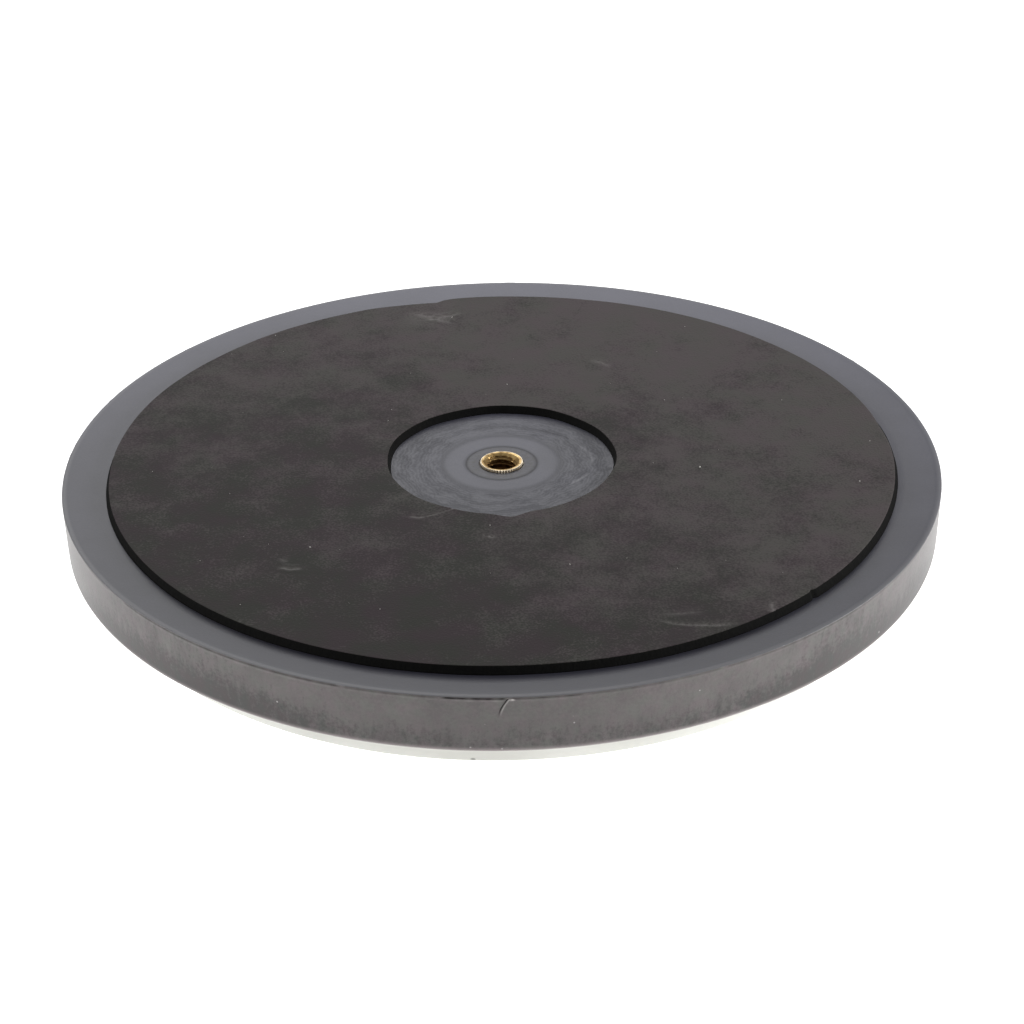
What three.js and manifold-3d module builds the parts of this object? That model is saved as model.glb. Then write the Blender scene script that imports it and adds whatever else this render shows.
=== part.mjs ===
// A drum practice pad, 8 inches (203 mm) across, lying face down as it is stored.
// Its mounting side is up: a black foam ring stuck to a grey moulded rubber body,
// with a brass M8 insert in the middle that screws onto a stand. The pale playing
// disc is underneath. Millimetres, +Z up, origin at the centre of the playing face.
import * as THREE from 'three';
import { mergeVertices } from 'three/addons/utils/BufferGeometryUtils.js';
import Module from 'manifold-3d';

const wasm = await Module();
wasm.setup();

// ---- driving dimensions ----------------------------------------------------

// Playing disc: pale rubber, glued under the body, with a rounded striking edge.
const PLAY_RADIUS = 93.5;
const PLAY_THICKNESS = 6.6;
const PLAY_EDGE_ROUND = 0.4;
const PLAY_TOP_CHAMFER = 0.3;

// Body: a moulded rubber cup, open below for the core, with a slightly dished back.
// The rim rolls over in a wide arc, the crown, before it meets its edge's own round.
const BODY_RADIUS = 101.5;
const BODY_FOOT_RADIUS = 101.1;
const BODY_HEIGHT = 14.0;
const BODY_FOOT_ROUND = 1.8;
const BODY_EDGE_ROUND = 0.2;
const BODY_CROWN_ROUND = 3.6;
const BODY_CROWN_END = 78;
const BODY_DISH = 0.9;
const BODY_FLOOR_RADIUS = 92.5;
const BODY_WEB = 3.8;

// Core: a stiff disc in the cup, which spreads the pull of the insert.
const CORE_RADIUS = 90.0;
const CORE_THICKNESS = 9.0;
const CORE_CHAMFER = 0.5;

// Insert: a knurled brass bush with an M8 thread, here bored at the thread's
// minor diameter.
const INSERT_LENGTH = 11.0;
const INSERT_RADIUS = 5.0;
const INSERT_ROOT_RADIUS = 4.7;
const INSERT_PROUD = 0.5;
const THREAD_MINOR_RADIUS = 3.325;
const MOUTH_RADIUS = 4.15;
const KNURL_TEETH = 48;
const KNURL_UPPER_LENGTH = 4.0;
const KNURL_LOWER_LENGTH = 4.8;
const KNURL_LEAD_IN = 0.8;

// Foam ring: die-cut sheet foam, laid a little off centre by hand. Its cut edges
// lean, so that its top is a little narrower than its glued side.
const FOAM_THICKNESS = 1.6;
const FOAM_OUTER_RADIUS = 91.5;
const FOAM_OUTER_TOP_RADIUS = 90.8;
const FOAM_HOLE_RADIUS = 25.9;
const FOAM_HOLE_TOP_RADIUS = 26.6;
const FOAM_SHIFT_Y = -0.6;

// Adhesive films under the foam ring and over the playing disc.
const FOAM_FILM_THICKNESS = 0.15;
const FOAM_FILM_SETBACK = 0.9;
const PLAY_FILM_THICKNESS = 0.2;
const PLAY_FILM_SETBACK = 1.0;

// Clearances between neighbours.
const FIT_GAP = 0.3;
const FILM_GAP = 0.05;

// Facets round the axis.
const WIDE_FACETS = 96;
const FILM_FACETS = 64;
const INSERT_FACETS = 48;
const ROUND_STEPS = 4;

// ---- heights that follow from them -----------------------------------------

const BODY_UNDERSIDE_Z = PLAY_THICKNESS + PLAY_FILM_THICKNESS + 2 * FILM_GAP;
const BODY_TOP_Z = BODY_UNDERSIDE_Z + BODY_HEIGHT;
const BODY_FLOOR_Z = BODY_TOP_Z - BODY_DISH;
const CAVITY_ROOF_Z = BODY_FLOOR_Z - BODY_WEB;
const CAVITY_RADIUS = CORE_RADIUS + FIT_GAP;
const CORE_TOP_Z = BODY_UNDERSIDE_Z + CORE_THICKNESS;
const INSERT_TOP_Z = BODY_FLOOR_Z + INSERT_PROUD;
const INSERT_BOTTOM_Z = INSERT_TOP_Z - INSERT_LENGTH;
const INSERT_HOLE_RADIUS = INSERT_RADIUS + FIT_GAP;
const FOAM_FILM_Z = BODY_FLOOR_Z + FILM_GAP;
const FOAM_BOTTOM_Z = FOAM_FILM_Z + FOAM_FILM_THICKNESS + FILM_GAP;

// ---- helpers ----------------------------------------------------------------

const degrees = THREE.MathUtils.degToRad;

// Points of an arc in a profile, from one angle to another, about (r, z).
function arc(r, z, radius, from, to, steps = ROUND_STEPS) {
  return Array.from({ length: steps + 1 }, (_, i) => {
    const angle = degrees(from + ((to - from) * i) / steps);
    return [r + radius * Math.cos(angle), z + radius * Math.sin(angle)];
  });
}

// A solid of revolution about +Z. Its profile of [radius, height] pairs runs
// with the material on its left: outwards below, up outside, inwards on top.
function turned(profile, facets) {
  const points = profile.map(([r, z]) => new THREE.Vector2(r, z));
  return new THREE.LatheGeometry(points, facets).rotateX(Math.PI / 2);
}

// A ring of revolution: the same, with its profile closed on itself.
function turnedRing(profile, facets) {
  return turned([...profile, profile[0]], facets);
}

// A closed geometry as a manifold-3d solid.
function toSolid(geometry) {
  geometry.deleteAttribute('normal');
  geometry.deleteAttribute('uv');
  const merged = mergeVertices(geometry);
  return new wasm.Manifold(new wasm.Mesh({
    numProp: 3,
    vertProperties: new Float32Array(merged.attributes.position.array),
    triVerts: new Uint32Array(merged.index.array),
  }));
}

// A manifold-3d solid as a geometry.
function toGeometry(solid) {
  const mesh = solid.getMesh();
  const geometry = new THREE.BufferGeometry();
  geometry.setAttribute('position', new THREE.BufferAttribute(mesh.vertProperties, 3));
  geometry.setIndex(new THREE.BufferAttribute(mesh.triVerts, 1));
  geometry.computeVertexNormals();
  return geometry;
}

function finish(colour, roughness, metalness = 0) {
  return new THREE.MeshStandardMaterial({ color: colour, roughness, metalness });
}

function part(name, geometry, material) {
  const mesh = new THREE.Mesh(geometry, material);
  mesh.name = name;
  return mesh;
}

// ---- sub-parts --------------------------------------------------------------

function playingSurface() {
  const round = PLAY_EDGE_ROUND;
  const profile = [
    [0, 0],
    ...arc(PLAY_RADIUS - round, round, round, -90, 0),
    [PLAY_RADIUS, PLAY_THICKNESS - PLAY_TOP_CHAMFER],
    [PLAY_RADIUS - PLAY_TOP_CHAMFER, PLAY_THICKNESS],
    [0, PLAY_THICKNESS],
  ];
  return part('playing_surface', turned(profile, WIDE_FACETS), finish('#e6e6de', 0.7));
}

function playingAdhesive() {
  const radius = PLAY_RADIUS - PLAY_FILM_SETBACK;
  const bottom = PLAY_THICKNESS + FILM_GAP;
  const top = bottom + PLAY_FILM_THICKNESS;
  const profile = [[0, bottom], [radius, bottom], [radius, top], [0, top]];
  return part('playing_surface_adhesive', turned(profile, FILM_FACETS), finish('#b9a878', 0.5));
}

function rubberBody() {
  const foot = BODY_FOOT_ROUND;
  const edge = BODY_EDGE_ROUND;
  const crown = BODY_CROWN_ROUND;
  const crownZ = BODY_TOP_Z - crown;
  const end = degrees(BODY_CROWN_END);
  const crownRadius = BODY_RADIUS - edge - (crown - edge) * Math.cos(end);
  const edgeZ = crownZ + (crown - edge) * Math.sin(end);
  const profile = [
    [CAVITY_RADIUS, BODY_UNDERSIDE_Z],
    ...arc(BODY_FOOT_RADIUS - foot, BODY_UNDERSIDE_Z + foot, foot, -90, 0),
    ...arc(BODY_RADIUS - edge, edgeZ, edge, 0, BODY_CROWN_END, 1),
    ...arc(crownRadius, crownZ, crown, BODY_CROWN_END, 90, 3).slice(1),
    [BODY_FLOOR_RADIUS, BODY_FLOOR_Z],
    [INSERT_HOLE_RADIUS, BODY_FLOOR_Z],
    [INSERT_HOLE_RADIUS, CAVITY_ROOF_Z],
    [CAVITY_RADIUS, CAVITY_ROOF_Z],
  ];
  return part('rubber_body', turnedRing(profile, WIDE_FACETS), finish('#6c6b6e', 0.6));
}

// The core's blind hole holds the lower part of the insert.
function stiffCore() {
  const chamfer = CORE_CHAMFER;
  const holeFloor = INSERT_BOTTOM_Z - FIT_GAP;
  const profile = [
    [0, BODY_UNDERSIDE_Z],
    [CORE_RADIUS - chamfer, BODY_UNDERSIDE_Z],
    [CORE_RADIUS, BODY_UNDERSIDE_Z + chamfer],
    [CORE_RADIUS, CORE_TOP_Z - chamfer],
    [CORE_RADIUS - chamfer, CORE_TOP_Z],
    [INSERT_HOLE_RADIUS, CORE_TOP_Z],
    [INSERT_HOLE_RADIUS, holeFloor],
    [0, holeFloor],
  ];
  return part('stiff_core', turned(profile, WIDE_FACETS), finish('#a88660', 0.8));
}

// One band of straight knurling: a toothed ring, with its foot at z.
function knurlBand(z, length) {
  const outline = new THREE.Shape();
  for (let i = 0; i < 2 * KNURL_TEETH; i += 1) {
    const radius = i % 2 === 0 ? INSERT_RADIUS : INSERT_ROOT_RADIUS;
    const angle = (Math.PI * i) / KNURL_TEETH;
    const place = [radius * Math.cos(angle), radius * Math.sin(angle)];
    if (i === 0) outline.moveTo(...place);
    else outline.lineTo(...place);
  }
  outline.closePath();
  // The hole lies inside the bush's wall, between its thread and its root.
  const holeRadius = (MOUTH_RADIUS + INSERT_ROOT_RADIUS) / 2;
  const hole = new THREE.Path().absarc(0, 0, holeRadius, 0, 2 * Math.PI, true);
  outline.holes.push(hole);
  const settings = { depth: length, bevelEnabled: false, curveSegments: INSERT_FACETS / 2 };
  return new THREE.ExtrudeGeometry(outline, settings).translate(0, 0, z);
}

function threadedInsert() {
  const chamfer = MOUTH_RADIUS - THREAD_MINOR_RADIUS;
  const bush = [
    [THREAD_MINOR_RADIUS, INSERT_BOTTOM_Z],
    [INSERT_ROOT_RADIUS, INSERT_BOTTOM_Z],
    [INSERT_ROOT_RADIUS, INSERT_TOP_Z],
    [MOUTH_RADIUS, INSERT_TOP_Z],
    [THREAD_MINOR_RADIUS, INSERT_TOP_Z - chamfer],
  ];
  const upper = knurlBand(INSERT_TOP_Z - KNURL_UPPER_LENGTH, KNURL_UPPER_LENGTH);
  const lower = knurlBand(INSERT_BOTTOM_Z + KNURL_LEAD_IN, KNURL_LOWER_LENGTH);
  const solid = toSolid(turnedRing(bush, INSERT_FACETS)).add(toSolid(upper)).add(toSolid(lower));
  return part('threaded_insert', toGeometry(solid), finish('#c9a765', 0.3, 1));
}

function foamRing() {
  const top = FOAM_BOTTOM_Z + FOAM_THICKNESS;
  const profile = [
    [FOAM_HOLE_RADIUS, FOAM_BOTTOM_Z],
    [FOAM_OUTER_RADIUS, FOAM_BOTTOM_Z],
    [FOAM_OUTER_TOP_RADIUS, top],
    [FOAM_HOLE_TOP_RADIUS, top],
  ];
  return part('foam_ring', turnedRing(profile, WIDE_FACETS), finish('#3c3938', 0.95));
}

function foamAdhesive() {
  const inner = FOAM_HOLE_RADIUS + FOAM_FILM_SETBACK;
  const outer = FOAM_OUTER_RADIUS - FOAM_FILM_SETBACK;
  const top = FOAM_FILM_Z + FOAM_FILM_THICKNESS;
  const profile = [[inner, FOAM_FILM_Z], [outer, FOAM_FILM_Z], [outer, top], [inner, top]];
  return part('foam_ring_adhesive', turnedRing(profile, FILM_FACETS), finish('#8f8a80', 0.5));
}

// ---- assembly ---------------------------------------------------------------

const practicePad = new THREE.Group();
practicePad.add(playingSurface(), playingAdhesive(), stiffCore(), rubberBody(), threadedInsert());

const foam = new THREE.Group();
foam.position.y = FOAM_SHIFT_Y;
foam.add(foamAdhesive(), foamRing());
practicePad.add(foam);

export default practicePad;
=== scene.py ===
# %% [markdown]
# # A drum practice pad, lying face down
# A grey rubber body with a black foam ring stuck to its back, a brass threaded insert in the
# middle, and a pale playing disc underneath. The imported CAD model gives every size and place;
# this lesson gives the pad its fine shape and its finishes.

# %% Load the fixed frame
import math

import bpy
import numpy as np
from mathutils import Matrix, Vector


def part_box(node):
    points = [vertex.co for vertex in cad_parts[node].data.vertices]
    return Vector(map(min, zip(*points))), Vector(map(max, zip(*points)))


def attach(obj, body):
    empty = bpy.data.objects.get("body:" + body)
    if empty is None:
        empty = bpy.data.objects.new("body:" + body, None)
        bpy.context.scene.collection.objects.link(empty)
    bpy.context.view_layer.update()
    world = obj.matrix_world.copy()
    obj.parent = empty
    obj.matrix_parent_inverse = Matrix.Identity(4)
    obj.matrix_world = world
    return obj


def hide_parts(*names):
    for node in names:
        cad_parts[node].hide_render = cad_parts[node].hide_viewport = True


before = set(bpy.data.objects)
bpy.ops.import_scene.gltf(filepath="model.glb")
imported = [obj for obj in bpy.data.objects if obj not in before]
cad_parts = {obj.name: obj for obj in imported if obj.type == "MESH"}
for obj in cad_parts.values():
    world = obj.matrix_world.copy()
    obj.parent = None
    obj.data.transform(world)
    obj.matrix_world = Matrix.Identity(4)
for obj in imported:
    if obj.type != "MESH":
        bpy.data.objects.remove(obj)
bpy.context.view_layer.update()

MM = 0.001
print("nodes:", sorted(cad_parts))

# %% [markdown]
# Every place on the pad follows from the boxes of the CAD nodes. The pad is round, so one
# radius and two heights say most of it.

# %% Places from the frame
body_low, body_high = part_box("rubber_body")
_, play_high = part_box("playing_surface")
foam_low, foam_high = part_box("foam_ring")
bush_low, bush_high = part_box("threaded_insert")

BODY_RADIUS = body_high[0]
BODY_TOP = body_high[2]
BODY_BOTTOM = body_low[2]
PLAY_RADIUS = play_high[0]
PLAY_TOP = play_high[2]
FOAM_RADIUS = foam_high[0]
FOAM_TOP = foam_high[2]
FOAM_SHIFT = (foam_low[1] + foam_high[1]) / 2
BUSH_RADIUS = bush_high[0]
BUSH_TOP = bush_high[2]
BUSH_BOTTOM = bush_low[2]
BUSH_PROUD = 0.5 * MM
FLOOR = BUSH_TOP - BUSH_PROUD
# The floor is open inside the foam ring, and a little way under its edge.
OPEN_FLOOR = 28 * MM
print(f"pad {2 * BODY_RADIUS / MM:.1f} mm across, back floor {FLOOR / MM:.2f} mm up")

# %% [markdown]
# Colours are written as sRGB hex values, the way a paint chart gives them. Blender works in
# linear light, so one function turns one into the other.

# %% Colour helper
def linear(hex_colour):
    """An sRGB hex colour such as "#808080" as linear red, green, blue and alpha."""
    parts = [int(hex_colour[i : i + 2], 16) / 255 for i in (1, 3, 5)]
    return [*(p / 12.92 if p <= 0.04045 else ((p + 0.055) / 1.055) ** 2.4 for p in parts), 1.0]


# %% [markdown]
# Materials and Geometry Nodes are both trees of nodes. Written by hand, each node takes a line
# to add it and one for every input, so one small function adds a node with its settings and
# links. It hands its inputs to a second one, which also feeds a material's own shader.

# %% Node helper
def feed(tree, fed, inputs):
    """Feeds a node's inputs, named or numbered. A value is a number, a name, a hex colour, or
    another node or one of its outputs, which is then linked."""
    for key, value in inputs.items():
        if isinstance(value, bpy.types.Node):
            value = value.outputs[0]
        if isinstance(value, bpy.types.NodeSocket):
            tree.links.new(value, fed.inputs[key])
        elif isinstance(value, str) and value.startswith("#"):
            fed.inputs[key].default_value = linear(value)
        else:
            fed.inputs[key].default_value = value


def node(tree, kind, inputs=None, **settings):
    """Adds a node with its settings and feeds its inputs."""
    made = tree.nodes.new(kind)
    for name, value in settings.items():
        setattr(made, name, value)
    feed(tree, made, inputs or {})
    return made


def new_material(name, **shader_values):
    """A material with one Principled shader. Returns it, its tree, its shader and the output
    that gives the object's own coordinates in metres."""
    material = bpy.data.materials.new(name)
    material.use_nodes = True
    tree = material.node_tree
    shader = tree.nodes["Principled BSDF"]
    feed(tree, shader, {key.replace("_", " "): value for key, value in shader_values.items()})
    return material, tree, shader, node(tree, "ShaderNodeTexCoord").outputs["Object"]


# %% [markdown]
# Few old surfaces are even. Small helpers draw what time adds: coats of colour over each other,
# a sum of patterns, and a soft-edged spot. One more is a ramp across the pad, for painted light
# that falls more on one side.

# %% Coats, sums, painted light ramps and spots
def coats(tree, base, *layers):
    """Lays coats over a base colour. Each layer is how much of it covers, and its colour."""
    for cover, colour in layers:
        base = node(
            tree, "ShaderNodeMix", {"Factor": cover, 6: base, 7: colour}, data_type="RGBA"
        ).outputs[2]
    return base


def two_tone(tree, pattern, low, high, first, second):
    """The first colour where a pattern is below low, the second where it is above high."""
    share = node(tree, "ShaderNodeMapRange", {"Value": pattern, 1: low, 2: high})
    return coats(tree, first, (share, second))


def weighted(tree, *terms):
    """The sum of (value, weight) terms, each measured from its middle, plus a half."""
    total = 0.5 - sum(weight / 2 for _, weight in terms)
    for value, weight in terms:
        total = node(tree, "ShaderNodeMath", {0: value, 1: weight, 2: total}, operation="MULTIPLY_ADD")
    return total


def from_axis(tree, place):
    """How far each point is from the Z axis."""
    flat = node(tree, "ShaderNodeVectorMath", {0: place, 1: (1, 1, 0)}, operation="MULTIPLY")
    return node(tree, "ShaderNodeVectorMath", {0: flat}, operation="LENGTH").outputs["Value"]


def painted_light_ramp(tree, place, towards):
    """From 0 to 1 across the pad, growing in the direction towards, for painted light that falls more
    on that side.
    """
    along = node(tree, "ShaderNodeVectorMath", {0: place, 1: towards}, operation="DOT_PRODUCT")
    return node(tree, "ShaderNodeMapRange", {"Value": along.outputs["Value"], 1: -0.1, 2: 0.1})


def spot(tree, place, centre, size, softness=0.5):
    """1 inside an ellipsoid of these half sizes, falling softly to 0 outside it."""
    scale = tuple(1 / half for half in size)
    shift = tuple(-c / half for c, half in zip(centre, size))
    moved = node(tree, "ShaderNodeMapping", {"Vector": place, "Scale": scale, "Location": shift})
    away = node(tree, "ShaderNodeVectorMath", {0: moved}, operation="LENGTH").outputs["Value"]
    return node(
        tree, "ShaderNodeMapRange", {"Value": away, 1: 1 + softness, 2: 1 - softness},
        interpolation_type="SMOOTHSTEP",
    )


# %% [markdown]
# The body's mesh will carry its own marks, in an attribute that is above 0 where it is dark and
# below 0 where it is pale. Some of the dark is painted shade in cuts, and some of the pale is
# painted highlight on their edges. A dark mark is a cut, which has no glint.

# %% Marks
def with_marks(tree, colour, dark, pale):
    """The shader inputs that show the mesh's marks over a colour."""
    mark = node(tree, "ShaderNodeAttribute", attribute_name="mark").outputs["Fac"]
    negative = node(tree, "ShaderNodeMath", {0: mark, 1: -1.0}, operation="MULTIPLY")
    return {
        "Base Color": coats(tree, colour, (mark, dark), (negative, pale)),
        "Specular IOR Level": node(
            tree, "ShaderNodeMapRange", {"Value": mark, 1: 0.0, 2: 1.0, 3: 0.5, 4: 0.0}
        ),
    }


# %% [markdown]
# ## Finish: moulded rubber, the satin back
# The back of the body was pressed against a polished steel mould, so it has a soft sheen. The
# sheen comes from the rubber's own reflection, which grows towards grazing angles. Painted light
# makes the back paler, and a painted highlight the rim's outer millimetre. On the open floor inside
# the foam ring, a cloth has left swirls, glue a darker patch, and the insert's pin a pitted stain.

# %% Satin back
def satin_back():
    material, tree, shader, place = new_material("rubber_moulded_satin", Roughness=0.42, IOR=1.5)
    cloud = node(
        tree, "ShaderNodeTexNoise",
        {"Vector": place, "Scale": 1 / (22 * MM), "Detail": 5.0, "Roughness": 0.6},
    )
    grain = node(tree, "ShaderNodeTexNoise", {"Vector": place, "Scale": 1 / (0.5 * MM), "Detail": 3.0})
    # Painted light: the back of the pad is painted paler than the front.
    painted_light_side = painted_light_ramp(tree, place, (0.15, 0.98, 0.0))
    radius = from_axis(tree, place)
    beyond_pin = node(
        tree, "ShaderNodeMapRange", {"Value": radius, 1: 12.5 * MM, 2: 16 * MM},
        interpolation_type="SMOOTHSTEP",
    )
    tone = weighted(tree, (painted_light_side, 1.1), (cloud, 0.7), (grain, 0.3), (beyond_pin, -0.15))
    # A ring wave repeats every 0.314 / scale metres. Distortion breaks the rings into swirls.
    swirls, fine_swirls = [
        node(
            tree, "ShaderNodeTexWave",
            {"Vector": place, "Scale": scale, "Distortion": distortion, "Detail": detail,
             "Detail Scale": detail_scale, "Detail Roughness": roughness},
            wave_type="RINGS", rings_direction="Z",
        ).outputs["Fac"]
        for scale, distortion, detail, detail_scale, roughness in (
            (75.0, 9.0, 5.0, 1.6, 0.7), (330.0, 16.0, 4.0, 0.7, 0.65)
        )
    ]
    smears = node(
        tree, "ShaderNodeTexNoise",
        {"Vector": place, "Scale": 1 / (6 * MM), "Detail": 7.0, "Roughness": 0.75},
    )
    wiped = weighted(tree, (swirls, 0.35), (fine_swirls, 0.45), (smears, 2.0))
    inside_ring = node(
        tree, "ShaderNodeMapRange", {"Value": radius, 1: OPEN_FLOOR + 2 * MM, 2: OPEN_FLOOR}
    )
    open_floor = node(tree, "ShaderNodeMath", {0: beyond_pin, 1: inside_ring}, operation="MULTIPLY")
    wiped_here = node(tree, "ShaderNodeMath", {0: wiped, 1: open_floor}, operation="MULTIPLY")
    swirl_cover = node(tree, "ShaderNodeMath", {0: wiped_here, 1: 0.5}, operation="MULTIPLY")
    glue_patch = spot(tree, place, (15 * MM, 3 * MM, FLOOR), (7 * MM, 9 * MM, 5 * MM), 0.25)
    glue_cover = node(tree, "ShaderNodeMath", {0: glue_patch, 1: 0.22}, operation="MULTIPLY")
    pitting = node(
        tree, "ShaderNodeTexNoise",
        {"Vector": place, "Scale": 1 / (0.9 * MM), "Detail": 4.0, "Roughness": 0.7},
    )
    pits = node(tree, "ShaderNodeMapRange", {"Value": pitting, 1: 0.35, 2: 0.65, 3: 0.1, 4: 0.7})
    pin_print = spot(tree, place, (0.0, 0.0, FLOOR), (8.3 * MM, 8.3 * MM, 5 * MM), 0.06)
    stain = node(tree, "ShaderNodeMath", {0: pin_print, 1: pits}, operation="MULTIPLY")
    # Painted highlight: the rim's outer millimetre is painted paler, in place of the crown's
    # reflection.
    crown_highlight = node(
        tree, "ShaderNodeMapRange",
        {"Value": radius, 1: BODY_RADIUS - 1.4 * MM, 2: BODY_RADIUS - 0.2 * MM, 4: 0.42},
        interpolation_type="SMOOTHSTEP",
    )
    colour = coats(
        tree, "#31313a", (tone, "#555562"), (swirl_cover, "#2e2e33"), (glue_cover, "#2b2b2f"),
        (stain, "#37332f"), (crown_highlight, "#8e8e90"),
    )
    rough = node(tree, "ShaderNodeMapRange", {"Value": wiped_here, 1: 0.2, 2: 0.9, 3: 0.42, 4: 0.56})
    bump = node(tree, "ShaderNodeBump", {"Height": grain, "Strength": 0.35, "Distance": 0.04 * MM})
    marked = with_marks(tree, colour, "#131315", "#8b8b90")
    feed(tree, shader, {**marked, "Roughness": rough, "Normal": bump})
    return material


satin = satin_back()
print(satin.name, "has", len(satin.node_tree.nodes), "nodes")

# %% [markdown]
# ## Finish: moulded rubber, the matt side wall
# The side wall was in the rougher ring of the mould and has been handled since. It is warmer and
# more matt than the back, with faint dark rub marks low down, most of them in the two places
# where hands grip it, fine dark speckle, and a few pale crumbs. The marks are noise squeezed
# along Z, so they stand upright. The rounded foot is rubbed clean and catches light.

# %% Matt side wall
def matt_wall():
    # The sheen is fine dust, which brightens the wall where it turns away.
    material, tree, shader, place = new_material(
        "rubber_moulded_matt", Roughness=0.5, IOR=1.5, Sheen_Weight=0.55, Sheen_Roughness=0.3
    )
    height = node(tree, "ShaderNodeSeparateXYZ", {"Vector": place}).outputs["Z"]
    low = node(
        tree, "ShaderNodeMapRange",
        {"Value": height, 1: BODY_BOTTOM + 11.0 * MM, 2: BODY_BOTTOM + 2.5 * MM},
        interpolation_type="SMOOTHSTEP",
    )
    foot = node(
        tree, "ShaderNodeMapRange",
        {"Value": height, 1: BODY_BOTTOM + 1.9 * MM, 2: BODY_BOTTOM + 0.4 * MM, 4: 0.75},
    )
    upright = node(tree, "ShaderNodeMapping", {"Vector": place, "Scale": (1.0, 1.0, 0.3)})
    # Grain size in millimetres, detail and roughness of each pattern.
    streaks, patches, speckle, clouds, hue = [
        node(
            tree, "ShaderNodeTexNoise",
            {"Vector": where, "Scale": 1 / (size * MM), "Detail": detail, "Roughness": roughness},
        )
        for where, size, detail, roughness in (
            (upright, 1.8, 5.0, 0.65), (place, 16, 3.0, 0.5), (place, 0.8, 3.0, 0.75),
            (place, 6, 6.0, 0.65), (place, 2.4, 3.0, 0.5),
        )
    ]
    grips = [
        spot(tree, place, (x * MM, y * MM, 12 * MM), (34 * MM, 34 * MM, 30 * MM), 0.6)
        for x, y in ((-70, -70), (75, -65))
    ]
    gripped = node(tree, "ShaderNodeMath", {0: grips[0], 1: grips[1]}, operation="ADD")
    rubbed = weighted(tree, (low, 0.8), (gripped, 0.6), (patches, 0.8), (streaks, 1.5), (speckle, 2.0))
    rub_marks = node(tree, "ShaderNodeMapRange", {"Value": rubbed, 1: 0.3, 2: 1.05, 4: 0.85})
    # A few cells, 3.6 mm across, hold a pale crumb.
    cells = node(tree, "ShaderNodeTexVoronoi", {"Vector": place, "Scale": 280.0})
    near = node(tree, "ShaderNodeMapRange", {"Value": cells.outputs["Distance"], 1: 0.075, 2: 0.04})
    chosen = node(
        tree, "ShaderNodeMath", {0: cells.outputs["Color"], 1: 0.68}, operation="GREATER_THAN"
    )
    crumb = node(tree, "ShaderNodeMath", {0: near, 1: chosen}, operation="MULTIPLY")
    tone = weighted(tree, (clouds, 1.1), (speckle, 0.9))
    colour = coats(
        tree, "#454141", (tone, two_tone(tree, hue, 0.35, 0.65, "#5f5f5b", "#635a5c")),
        (rub_marks, two_tone(tree, hue, 0.35, 0.65, "#2a2b29", "#302829")),
        (foot, "#8a7f7f"), (crumb, "#959190"),
    )
    bump = node(tree, "ShaderNodeBump", {"Height": speckle, "Strength": 0.4, "Distance": 0.06 * MM})
    feed(tree, shader, {**with_marks(tree, colour, "#0c0b0c", "#b9b5b2"), "Normal": bump})
    return material


matt = matt_wall()
print(matt.name, "has", len(matt.node_tree.nodes), "nodes")

# %% [markdown]
# ## The turned shape
# The body, the foam ring, the playing disc and the brass bush are all solids of revolution, so
# one rule makes them all: take a half section and turn it round the Z axis. A Screw modifier or
# bmesh's spin could do it. Here a Geometry Nodes tree does, because it can also crowd its
# columns together where fine detail is wanted, and let the surface wander a little, as moulded
# and hand-cut surfaces do.

# %% Tree builder
def new_tree(name, sockets):
    """A Geometry Nodes tree. sockets are (label, kind, default) for each named input."""
    tree = bpy.data.node_groups.new(name, "GeometryNodeTree")
    tree.interface.new_socket("Geometry", in_out="INPUT", socket_type="NodeSocketGeometry")
    for label, kind, default in sockets:
        socket = tree.interface.new_socket(label, in_out="INPUT", socket_type="NodeSocket" + kind)
        if default is not None:
            socket.default_value = default
    tree.interface.new_socket("Geometry", in_out="OUTPUT", socket_type="NodeSocketGeometry")
    return tree, tree.nodes.new("NodeGroupInput").outputs


def close_tree(tree, geometry, given):
    """Ends a tree: instances made real, then the material."""
    real = node(tree, "GeometryNodeRealizeInstances", {"Geometry": geometry})
    dressed = node(tree, "GeometryNodeSetMaterial", {"Geometry": real, "Material": given["Material"]})
    node(tree, "NodeGroupOutput", {"Geometry": dressed})


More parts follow.
